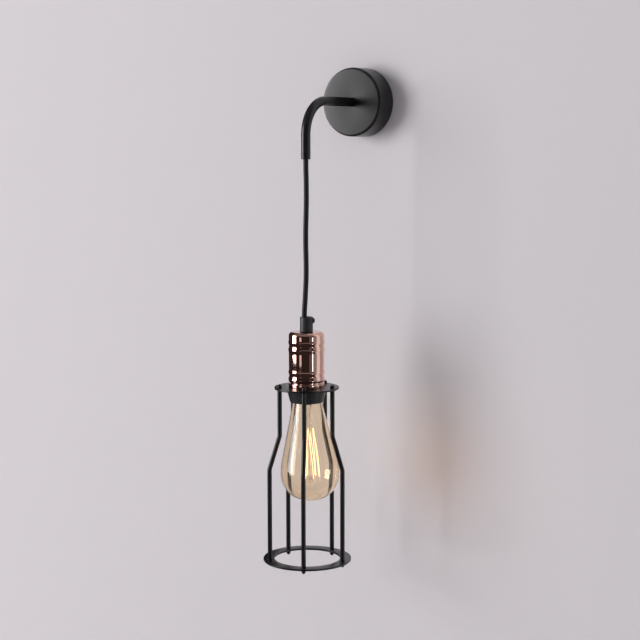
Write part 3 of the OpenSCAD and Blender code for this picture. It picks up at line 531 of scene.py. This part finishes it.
class LAMP_OT_stage(bpy.types.Operator):
    """Camera, wall, floor, soft lamps, and painted reflections: sheets that show the dark side of
    the room in polished surfaces only
    """

    bl_idname = "lamp.stage"
    bl_label = "Stage"

    def camera(self, context):
        """The photo's camera: place and turns fitted to the photo, its axes from the turns."""
        data = bpy.data.cameras.new("camera")
        data.lens, data.sensor_width = 82.09, 36.0
        data.clip_start, data.clip_end = 0.05, 30.0
        azimuth, pitch, roll = np.radians([34.298, -6.638, -0.152])
        ahead = np.array([-np.sin(azimuth) * np.cos(pitch), np.cos(azimuth) * np.cos(pitch),
                          np.sin(pitch)])
        right = np.array([np.cos(azimuth), np.sin(azimuth), 0.0])
        up = np.cross(right, ahead)
        right, up = (right * np.cos(roll) + up * np.sin(roll),
                     up * np.cos(roll) - right * np.sin(roll))
        place = np.eye(4)
        place[:3, 0], place[:3, 1], place[:3, 2] = right, up, -ahead
        place[:3, 3] = (0.8917, -1.3964, -0.0528)
        camera = bpy.data.objects.new("camera", data)
        context.scene.collection.objects.link(camera)
        camera.matrix_world = Matrix(place.tolist())
        context.scene.camera = camera

    def sheet(self, name, corners, material):
        """A flat stage sheet between four corners, in metres."""
        mesh = bpy.data.meshes.new(name)
        mesh.from_pydata(corners, [], [(0, 1, 2, 3)])
        mesh.materials.append(material)
        sheet = bpy.data.objects.new(name, mesh)
        bpy.context.scene.collection.objects.link(sheet)

    def pale_wall(self, colour):
        """Matt paint that is seen from the room only: its back lets the view pass."""
        material = bpy.data.materials.new("wall_paint")
        material.use_nodes = True
        tree = material.node_tree
        shader = tree.nodes["Principled BSDF"]
        shader.inputs["Base Color"].default_value = (*colour, 1)
        shader.inputs["Roughness"].default_value = 0.95
        shader.inputs["Specular IOR Level"].default_value = 0.1
        side = tree.nodes.new("ShaderNodeNewGeometry")
        clear = tree.nodes.new("ShaderNodeBsdfTransparent")
        mix = tree.nodes.new("ShaderNodeMixShader")
        tree.links.new(side.outputs["Backfacing"], mix.inputs["Fac"])
        tree.links.new(shader.outputs["BSDF"], mix.inputs[1])
        tree.links.new(clear.outputs["BSDF"], mix.inputs[2])
        tree.links.new(mix.outputs["Shader"], tree.nodes["Material Output"].inputs["Surface"])
        return material

    def around(self, azimuth, distance, height):
        """Point round the plumb line, at an azimuth from -Y towards +X, in metres."""
        a = np.radians(azimuth)
        return np.array([np.sin(a) * distance, -REACH * MM - np.cos(a) * distance, height])

    def lamp(self, name, azimuth, distance, height, width, tall, power, gloss=False, roll=0.0):
        """An area lamp, aimed at the holder, that either lights matt surfaces or shows in
        polished ones. Degrees, metres and watts."""
        data = bpy.data.lights.new(name, "AREA")
        data.shape, data.size, data.size_y = "RECTANGLE", width, tall
        data.energy = power
        lamp = bpy.data.objects.new(name, data)
        bpy.context.scene.collection.objects.link(lamp)
        place = self.around(azimuth, distance, height)
        ahead = np.array([0, -REACH * MM, -0.3]) - place
        ahead /= np.linalg.norm(ahead)
        right = np.cross(ahead, [0, 0, 1.0])
        right /= np.linalg.norm(right)
        right = axis_turn(ahead, roll) @ right
        matrix = np.eye(4)
        matrix[:3, 0], matrix[:3, 1], matrix[:3, 2] = right, np.cross(right, ahead), -ahead
        matrix[:3, 3] = place
        lamp.matrix_world = Matrix(matrix.tolist())
        lamp.visible_diffuse = lamp.visible_transmission = not gloss
        lamp.visible_glossy = gloss

    def round_card(self, name, start, end, distance, low, high, colour):
        """A curved card round the light, between two azimuths and two heights, that only
        reflections see: a painted reflection."""
        a = np.linspace(start, end, 25)
        rows = [np.array([self.around(x, distance, z) for x in a]) / MM for z in (low, high)]
        self.card(name, np.stack(rows), colour)

    def wall_card(self, name, x, colour):
        """The same painted reflection, flat in front of the wall between two sides."""
        self.card(name, np.array([[(at, -4.0, z) for at in x] for z in (-1600, 3000)]), colour)

    def floor_card(self, name, colour):
        """The same painted reflection, flat over the floor."""
        self.card(name, np.array([[(x, y, -1590.0) for x in (-5000, 5000)]
                                  for y in (-7000, -1)]), colour)

    def card(self, name, grid, colour):
        """A glowing sheet over a grid, hidden from everything but reflections: a painted
        reflection.
        """
        card = surface(name, grid, loop_v=False)
        material = bpy.data.materials.new(name)
        material.use_nodes = True
        tree = material.node_tree
        glow = tree.nodes.new("ShaderNodeEmission")
        glow.inputs["Color"].default_value = (*colour, 1)
        tree.links.new(glow.outputs["Emission"], tree.nodes["Material Output"].inputs["Surface"])
        card.data.materials.append(material)
        card.visible_camera = card.visible_diffuse = card.visible_shadow = False
        card.visible_transmission = False

    def world(self, scene):
        """Pale where it is seen or looked at through glass, dim in reflections, and a plain
        fill elsewhere."""
        world = bpy.data.worlds.new("world")
        world.use_nodes = True
        tree = world.node_tree
        fill = tree.nodes["Background"]
        fill.inputs["Color"].default_value = (0.95, 0.97, 1.0, 1)
        fill.inputs["Strength"].default_value = 0.36
        seen = tree.nodes.new("ShaderNodeBackground")
        seen.inputs["Color"].default_value = (0.62, 0.60, 0.63, 1)
        ceiling = tree.nodes.new("ShaderNodeBackground")
        ceiling.inputs["Color"].default_value = (0.22, 0.21, 0.21, 1)
        rays = tree.nodes.new("ShaderNodeLightPath")
        either = tree.nodes.new("ShaderNodeMath")
        either.operation = "ADD"
        either.use_clamp = True
        gloss, mix = (tree.nodes.new("ShaderNodeMixShader") for _ in range(2))
        link = tree.links.new
        link(rays.outputs["Is Camera Ray"], either.inputs[0])
        link(rays.outputs["Is Transmission Ray"], either.inputs[1])
        link(rays.outputs["Is Glossy Ray"], gloss.inputs["Fac"])
        link(fill.outputs[0], gloss.inputs[1])
        link(ceiling.outputs[0], gloss.inputs[2])
        link(either.outputs[0], mix.inputs["Fac"])
        link(gloss.outputs[0], mix.inputs[1])
        link(seen.outputs[0], mix.inputs[2])
        link(mix.outputs[0], tree.nodes["World Output"].inputs["Surface"])
        scene.world = world

    def execute(self, context):
        self.camera(context)
        paint = self.pale_wall(tuple(context.scene.lamp_colours.wall))
        y, half, floor_z = 0.0004, 5.0, -1.6
        self.sheet("wall_backdrop", [(-half, y, floor_z), (half, y, floor_z),
                                     (half, y, 3.0), (-half, y, 3.0)], paint)
        self.sheet("floor", [(-half, -7.0, floor_z), (half, -7.0, floor_z),
                             (half, y, floor_z), (-half, y, floor_z)], paint)
        self.lamp("key_softbox", -43, 7.5, 0.3, 3.6, 5.0, 543.0)
        self.lamp("key_gloss", -52, 4.2, 0.24, 2.1, 2.41, 128.0, gloss=True, roll=2.0)
        self.lamp("side_strip", 74.5, 3.0, -1.0, 0.3, 1.2, 3.6, gloss=True)
        # Painted reflections: a dark room round the front, beige, brown and grey cards, the wall
        # painted dark to the left and grey and bright to the right, and the floor painted dark.
        self.round_card("dark_room_reflection", -90, 88, 5.6, -3.5, 3.0, (0.028, 0.023, 0.022))
        self.round_card("beige_card", -12, 1, 5.2, -1.2, -0.6, (0.80, 0.82, 0.80))
        self.round_card("brown_card", 52, 68, 5.2, -1.8, 1.8, (0.13, 0.11, 0.11))
        self.round_card("grey_card", 80, 89, 5.2, -1.8, 1.8, (0.27, 0.29, 0.34))
        self.wall_card("dark_wall_reflection_left", (-5000, -120), (0.022, 0.018, 0.020))
        self.wall_card("grey_wall_reflection_right", (480, 5000), (0.27, 0.29, 0.34))
        self.wall_card("bright_wall_reflection_right", (150, 480), (0.80, 0.86, 0.84))
        self.floor_card("dark_floor_reflection", (0.03, 0.025, 0.025))
        self.world(context.scene)
        context.scene.view_settings.view_transform = "Standard"
        return {"FINISHED"}


class LAMP_OT_cord(bpy.types.Operator):
    """The free cord from the arm's mouth to the grip"""

    bl_idname = "lamp.cord"
    bl_label = "Cord"

    def execute(self, context):
        radius = context.scene.lamp_sizes.cord_diameter / 2 / MM
        route = np.array([
            (0, 0, MOUTH_Z), (0, 0, -70.5), (0, 0, -73), (0.2, 0.1, -82), (0.3, 0.2, -94),
            (0.3, 0.2, -106), (0.1, 0.1, -118), (-0.2, -0.1, -130), (-0.4, -0.2, -142),
            (-0.4, -0.2, -154), (-0.2, -0.1, -166), (-0.1, 0, -178), (-0.2, -0.1, -190),
            (-0.6, -0.4, -201), (-1.1, -0.7, -212), (-1.6, -1.1, -222), (-1.8, -1.2, -228.5),
            (-1.8, -1.2, GRIP_Z)])
        path = plumb(through(route, 8))
        cord = tube("cord", path, radius, (0.3, 1.0, 0.1), sides=40)
        dress(cord, "cord_cover", "pendant",
              ("cord_bend_cores", "cord_bend_lining", "cord_bend_cover", "cord_drop"))
        return {"FINISHED"}


class LAMP_OT_hidden_leads(bpy.types.Operator):
    """The cord inside the arm and the grip, and the cores at both of its ends"""

    bl_idname = "lamp.hidden_leads"
    bl_label = "Hidden leads"

    def execute(self, context):
        radius = context.scene.lamp_sizes.cord_diameter / 2 / MM
        inner = arm_path(10.0, MOUTH_Z + radius + 0.35)
        cord = tube("cord_inside_arm", inner, radius, (1, 0, 0), sides=32)
        dress(cord, "cord_cover", "wall_plate", ("cord_in_arm",))
        tail = through([(-1.8, -1.2, GRIP_Z), (-1.8, -1.2, -234), (-1.6, -1.1, -236.5),
                        (-1, -0.7, -239), (-0.5, -0.3, -241), (-0.2, -0.1, -243), (0, 0, -246),
                        (0, 0, NIPPLE_LOW)], 6)
        cord = tube("cord_inside_grip", plumb(tail), radius, (0.3, 1.0, 0.1), sides=32)
        dress(cord, "cord_cover", "pendant", ("cord_tail",))
        for name, x, turn in (("live", -9, 300), ("neutral", 9, 60), ("earth", 0, 180)):
            a = np.radians(turn)
            self.lead("wall", name, (1.2 * np.sin(a), -10, 1.2 * np.cos(a)), (0, 1.2, 0),
                      (0, 5, 0), (0, 0, 9), (x, -7, -16))
        link = through([
            (-17.1, -3.4, -7.3), (-18.4, -3.4, -8.8), (-19.6, -3.4, -10.6), (-20.3, -3.5, -13),
            (-20.5, -3.7, -16), (-20.1, -4, -19), (-19.1, -4.3, -22), (-17.6, -4.7, -25),
            (-15.4, -5.1, -28), (-12.9, -5.5, -30.6), (-10, -5.9, -32.2), (-7, -6.3, -32.8),
            (-4, -6.7, -32.6), (-1.8, -6.9, -31.6), (-0.5, -7, -30.2), (0, -7, -28.5),
            (0, -7, -25)], 3)
        dress(tube("earth_link_lead", link, CORE_R, CORE_FRAME, sides=16), "earth_insulation",
              "wall_plate", ("earth_link",))
        for name, side in (("live", 1), ("neutral", -1)):
            self.lead("holder", name, (1.2 * side, 0, NIPPLE_LOW), (0, 0, -1), (0, 0, -4),
                      (-4 * side, 0, 1), (6.2 * side, 0, -270.5))
        self.lead("holder", "earth", (0, 1.65, NIPPLE_LOW), (0, 0, -1), (0, 1, -6), (0, 4, -7),
                  (0, 11, -248.9))
        return {"FINISHED"}

    def lead(self, where, name, start, stub, leave, arrive, end):
        """One insulated core: a short straight stub from its start, then a cubic curve that
        leaves and arrives along two given steps."""
        start, end = np.array(start, float), np.array(end, float)
        bent = start + stub
        path = np.concatenate([[start], sweep_between(bent, bent + leave, end + arrive, end)])
        if where == "holder":
            path = plumb(path)
        dress(tube(f"{where}_{name}_lead", path, CORE_R, CORE_FRAME, sides=16),
              f"{name}_insulation", "pendant" if where == "holder" else "wall_plate",
              (f"{where}_{name}_core",))


class LAMP_OT_canopy(bpy.types.Operator):
    """Canopy with its rolled edge, and the two side screws"""

    bl_idname = "lamp.canopy"
    bl_label = "Canopy"

    def execute(self, context):
        outer = [(4.1, 27), (38, 27), (38, 0), (36.8, 0), (36.8, 25.8), (4.1, 25.8)]
        outline = eased(outer, [0.1, 2.9, 0.25, 0.25, 1.8, 0.1], 10)
        canopy = turned("canopy_cup", outline, off_wall, sides=160, sharp=50)
        dress(canopy, "black_coat", "wall_plate", ("canopy",))
        screws = []
        for side in (-1, 1):
            def place(p, side=side):
                return np.stack([side * (38 + p[..., 2]), -9 + p[..., 0], p[..., 1]], -1)
            screws.append(dome("screw", place, 2.7, 1.0, 1.95, 6, 1.1))
        dress(joined("canopy_side_screws", *screws), "black_screw", "wall_plate",
              ("canopy_screws",))
        return {"FINISHED"}


class LAMP_OT_arm(bpy.types.Operator):
    """The bent tube with its eased mouth"""

    bl_idname = "lamp.arm"
    bl_label = "Arm"

    def execute(self, context):
        arm = pipe("arm_bent_tube", arm_path(27.0, MOUTH_Z, 56), 5.0, 4.0, 0.3, (1, 0, 0), 72)
        dress(arm, "black_coat", "wall_plate", ("arm_tube",))
        return {"FINISHED"}


class LAMP_OT_grip(bpy.types.Operator):
    """Cord grip and its side screw"""

    bl_idname = "lamp.grip"
    bl_label = "Cord grip"

    def execute(self, context):
        outer = [(5.05, GRIP_Z), (7, GRIP_Z), (7, CAP_TOP), (4.97, CAP_TOP), (4.97, -242.5),
                 (5.05, -242.5)]
        outline = eased(outer, [0.3, 0.5, 0.15, 0.1, 0, 0], 6)
        # The grip and its screw take the lighter copy of the coat: painted light.
        dress(turned("grip_body", outline, plumb, sides=96), "grip_black", "pendant",
              ("cord_grip",))
        screw = dome("grip_side_screw", aside(SIDE, GRIP_Z - 4, 6.45), 3.45, 2.9, 1.95, 5.7, 1.4)
        dress(screw, "grip_black", "grip_screw_body", ("grip_screw",))
        return {"FINISHED"}


class LAMP_OT_holder(bpy.types.Operator):
    """Polished cap with its rolled beads and grooves, and the skirt with its flange"""

    bl_idname = "lamp.holder"
    bl_label = "Lamp holder"

    def wall_radius(self, z, bead):
        """Radius of the cap's side at height z: the plain radius, plus h exp(-(d/w)^2) for each
        bead at distance d, wider below than above, less the same for each groove, less
        0.17 t^2 where rolling drew the wall in above the third bead."""
        r = np.full_like(z, CAP_R)
        for at, above, below in ((-258.1, 1.2, 1.9), (-266.2, 1.3, 2.0), (-290.5, 1.1, 1.6),
                                 (-298.6, 1.8, 1.5)):
            width = np.where(z > at, above, below)
            r += bead * np.exp(-((z - at) / width) ** 2)
        for at in (-262.2, -294.6):
            r -= 0.35 * np.exp(-((z - at) / 1.5) ** 2)
        waist = np.clip((-273.0 - z) / 15.0, 0, 1) ** 2 * np.clip((z + 289.6) / 1.5, 0, 1)
        return r - 0.17 * waist

    def execute(self, context):
        bead = context.scene.lamp_sizes.bead_height / MM
        z = np.linspace(CAP_LOW + 0.8, CAP_TOP - SHOULDER, 560)
        side = np.stack([self.wall_radius(z, bead), z], -1)
        shoulder = arc((CAP_R - SHOULDER, CAP_TOP - SHOULDER), SHOULDER, 0, 90, 24)[1:]
        inside = eased([(18.2, CAP_LOW - 2), (18.2, CAP_TOP - 0.8), (0, CAP_TOP - 0.8)],
                       [0, 3.0, 0], 10, closed=False)
        inside = inside[(inside[:, 1] > CAP_LOW + 1.3) & (inside[:, 0] > 5)][::-1]
        outline = np.concatenate([
            side, shoulder, [(5.1, CAP_TOP), (4.98, CAP_TOP - 0.1), (4.98, CAP_TOP - 0.8)],
            inside, [(18.2, CAP_LOW + 0.9), (18.3, CAP_LOW + 0.75)]])
        cap = turned("holder_beaded_cap", outline, plumb, sides=192, sharp=60)
        dress(cap, "copper_plate", "pendant", ("holder_cap",))
        outer = [(16.5, -291), (18.18, -291), (18.18, CAP_LOW + 0.7), (17.6, CAP_LOW + 0.5),
                 (17.6, -302.9), (19.3, -302.9), (19.3, PLATE_TOP), (17.4, PLATE_TOP),
                 (17.4, SKIRT_LOW), (16.5, SKIRT_LOW)]
        outline = eased(outer, [0.2, 0.2, 0, 0.1, 0.2, 0.5, 0.35, 0, 0.2, 0.2], 6)
        skirt = turned("holder_flanged_skirt", outline, plumb, sides=160, sharp=60)
        dress(skirt, "copper_plate", "pendant", ("holder_skirt",))
        return {"FINISHED"}


class LAMP_OT_cage(bpy.types.Operator):
    """Top plate, bottom ring, five bent rods and the screwed shade ring"""

    bl_idname = "lamp.cage"
    bl_label = "Cage"

    def rod_line(self, radius):
        """Centreline and radii of one rod in its own plane: out and z, the tips tapered."""
        lean, bend = np.radians(17.5732), 12.0
        lead, shift = bend * np.tan(lean / 2), bend * (1 - np.cos(lean))
        slant = (ROD_LOW_R - ROD_TOP_R - 2 * shift) / np.sin(lean)
        top = PLATE_TOP - (52.5 - lead)
        a = np.linspace(0, lean, 12)
        first = np.stack([ROD_TOP_R + bend * (1 - np.cos(a)), top - bend * np.sin(a)], -1)
        joint = first[-1] + slant * np.array([np.sin(lean), -np.cos(lean)])
        second = np.stack([ROD_LOW_R - bend * (1 - np.cos(a[::-1])),
                           joint[1] - bend * (np.sin(lean) - np.sin(a[::-1]))], -1)
        high, low = PLATE_TOP + 1.0, HOOP_LOW - 1.6
        tip_h, tip_l = 2.68, 3.35
        taper = np.linspace(0, 1, 14)
        tip_up, tip_low = high + tip_h * (1 - taper), low - tip_l * taper
        up_r = radius * np.sqrt(np.clip(1 - ((tip_up - high) / tip_h) ** 2.2, 0, 1))
        low_r = radius * np.sqrt(np.clip(1 - ((low - tip_low) / tip_l) ** 1.7, 0, 1))
        upper = np.stack([0 * tip_up + ROD_TOP_R, tip_up], -1)
        lower = np.stack([0 * tip_low + ROD_LOW_R, tip_low], -1)
        line = np.concatenate([upper, first, second, lower])
        radii = np.concatenate([up_r, np.full(24, radius), low_r])
        return line, radii

    def execute(self, context):
        radius = context.scene.lamp_sizes.rod_diameter / 2 / MM
        line, radii = self.rod_line(radius)
        for i in range(5):
            a = np.radians(-42.7 + 72 * i)
            out = np.array([np.sin(a), -np.cos(a), 0.0])
            path = plumb(line[:, :1] * out + line[:, 1:] * np.array([0, 0, 1.0]))
            side = np.cross(out, (0, 0, 1.0))
            rod = tube(f"cage_bent_rod_{i + 1}", path, radii, side, sides=32, sharp=60)
            dress(rod, "black_coat", "cage", (f"cage_rod_{i + 1}",))
        plate = eased([(17.7, PLATE_LOW), (35, PLATE_LOW), (35, PLATE_TOP - 0.05),
                       (17.7, PLATE_TOP - 0.05)], 0.3, 5)
        dress(turned("cage_top_disc", plate, plumb, sides=144), "black_coat", "cage",
              ("cage_plate",))
        hoop = eased([(36, HOOP_LOW), (48, HOOP_LOW), (48, HOOP_TOP), (36, HOOP_TOP)], 0.3, 5)
        dress(turned("cage_bottom_ring", hoop, plumb, sides=144), "black_coat", "cage",
              ("cage_hoop",))
        top = PLATE_LOW - 0.05
        outer = [(17.45, top), (21.5, top), (21.5, top - 2.2), (21.1, top - 2.2),
                 (18.1, RING_LOW + 0.4), (17.7, RING_LOW), (17.2, RING_LOW),
                 (17.2, SKIRT_LOW - 0.1), (17.45, SKIRT_LOW - 0.3)]
        outline = eased(outer, [0.1, 0.25, 0.25, 0.15, 0.4, 0.2, 0.1, 0.1, 0], 6)
        # The shade ring takes the lighter copy of the coat: painted light against the shade under
        # the plate.
        dress(turned("screwed_shade_ring", outline, plumb, sides=144), "grip_black", "ring",
              ("shade_ring",))
        return {"FINISHED"}


class LAMP_OT_bulb(bpy.types.Operator):
    """Amber glass, screw cap, stem, leads, hooks and the lit filament"""

    bl_idname = "lamp.bulb"
    bl_label = "Bulb"

    def execute(self, context):
        outline = np.concatenate([glass_outline(0.0), glass_outline(1.0)[::-1]])
        glass = turned("bulb_amber_glass", outline, leaning, sides=160, closed=False, sharp=60)
        dress(glass, "amber_glass", "bulb", ("bulb_glass",))
        thread = threaded("thread", 13.1, 0.45, 3.629, -317.5, -300.8, 0.3, leaning)
        collar = turned("collar", eased([(12.3, -300.9), (12.6, -300.9), (9.0, -298.0),
                                         (8.7, -298.0)], 0.1, 3), leaning, sides=64)
        base = turned("base", eased([(12.65, -318.5), (13.4, -318.5), (13.4, -317.4),
                                     (12.65, -317.4)], 0.25, 4), leaning, sides=64)
        dress(joined("bulb_screw_cap", thread, collar, base), "nickel", "bulb", ("bulb_cap",))
        stem = [(0, -320.8), (11.75, -320.8), (11.75, -321.8), (8.2, -322.3), (5.4, -325),
                (3.6, -331), (2.9, -336), (1.9, -341), (1.6, -344), (1.6, -407.5)]
        stem = eased(stem, [0, 0.3, 0.5, 2, 3, 3, 2, 2, 1, 0.5], 6, closed=False)
        knob = arc((0, STEM_LOW), 2.6, 52, -90, 16)
        knob[-1, 0] = 0
        stem = turned("bulb_glass_stem", np.concatenate([stem, knob]), leaning, sides=64,
                      closed=False, sharp=60)
        dress(stem, "clear_glass", "bulb", ("bulb_stem",))
        wires = [tube("lead", leaning(sweep_between(
            (s * 2.2, 0.3, -334), (s * 2.4, 0.3, -344), (s * 4, 0.3, -345),
            (s * 5.6, 0.3, -352.4))), 0.3, (0, 1, 0), sides=10) for s in (-1, 1)]
        dress(joined("bulb_lead_wires", *wires), "nickel", "bulb", ("bulb_leads",))
        hooks = []
        for i in range(6):
            for turn, points in (
                    (60 * i + 30, [(1.3, 0, STEM_LOW + 3), (4, 0, STEM_LOW + 2.5),
                                   (7, 0, STEM_LOW + 2.5), (LOW_HOOK[0], 0, LOW_HOOK[1])]),
                    (60 * i, [(1.3, 0, -356), (2.5, 0, -355.5), (4, 0, -354),
                              (TOP_HOOK[0], 0, TOP_HOOK[1])])):
                path = sweep_between(*points, steps=12) @ axis_turn((0, 0, 1), turn).T
                side = axis_turn((0, 0, 1), turn) @ np.array([0, 1.0, 0])
                hooks.append(tube("hook", leaning(path), 0.22, side, sides=8))
        dress(joined("bulb_wire_hooks", *hooks), "nickel", "bulb", ("bulb_hooks",))
        radius = context.scene.lamp_sizes.filament_radius / MM
        path = leaning(self.thread(12))
        filament = tube("bulb_lit_filament", path, radius, (0.2, 0.3, 1.0), sides=10, sharp=180)
        dress(filament, "filament", "bulb", ("bulb_filament",))
        return {"FINISHED"}

    def thread(self, count, steps=14):
        """The filament's line: strand i runs straight from hook i to hook i + 1 at
        (1 - t) a + t b, times a bow 1 + k 4 t (1 - t) away from the stem."""
        i = np.arange(count)
        low = i % 2 == 1
        r, z = (np.where(low, *pair) for pair in zip(LOW_HOOK, TOP_HOOK))
        r = r + 0.6

        def hook(j, ahead):
            a = np.radians(360 * i[j] / count + ahead * 28 / r[j])
            return np.stack([r[j] * np.cos(a), r[j] * np.sin(a), z[j]], -1)
        a, b = hook(i[:-1], 1)[:, None], hook(i[1:], -1)[:, None]
        t = np.linspace(0, 1, steps)[None, :, None]
        k = 0.08 + 0.16 * np.sin(2.4 * i[:-1] + 1)
        bow = 1 + k[:, None, None] * 4 * t * (1 - t)
        line = (a * (1 - t) + b * t) * np.concatenate([bow, bow, bow * 0 + 1], -1)
        return line.reshape(-1, 3)


class LAMP_OT_carried_nodes(bpy.types.Operator):
    """Finishes of the nodes that are shown as they are"""

    bl_idname = "lamp.carried_nodes"
    bl_label = "Carried-over nodes"

    def execute(self, context):
        dress_nodes()
        return {"FINISHED"}


class LAMP_PT_panel(bpy.types.Panel):
    """Sizes, colours and build steps of the light"""

    bl_idname = "LAMP_PT_panel"
    bl_label = "Cage wall light"
    bl_space_type = "VIEW_3D"
    bl_region_type = "UI"
    bl_category = "Lamp"

    def draw(self, context):
        for group in (context.scene.lamp_sizes, context.scene.lamp_colours):
            for name in group.__annotations__:
                self.layout.prop(group, name)
        for step in STEPS:
            self.layout.operator(step.bl_idname)


STEPS = (LAMP_OT_stage, LAMP_OT_cord, LAMP_OT_hidden_leads, LAMP_OT_carried_nodes,
         LAMP_OT_canopy, LAMP_OT_arm, LAMP_OT_grip, LAMP_OT_holder, LAMP_OT_cage, LAMP_OT_bulb)
CLASSES = (LampSizes, LampColours, *STEPS, LAMP_PT_panel)


def register():
    for each in CLASSES:
        bpy.utils.register_class(each)
    bpy.types.Scene.lamp_sizes = bpy.props.PointerProperty(type=LampSizes)
    bpy.types.Scene.lamp_colours = bpy.props.PointerProperty(type=LampColours)


def unregister():
    del bpy.types.Scene.lamp_colours
    del bpy.types.Scene.lamp_sizes
    for each in reversed(CLASSES):
        bpy.utils.unregister_class(each)


def main():
    register()
    make_finishes()
    for step in STEPS:
        group, name = step.bl_idname.split(".")
        getattr(getattr(bpy.ops, group), name)()


if __name__ == "__main__":
    main()
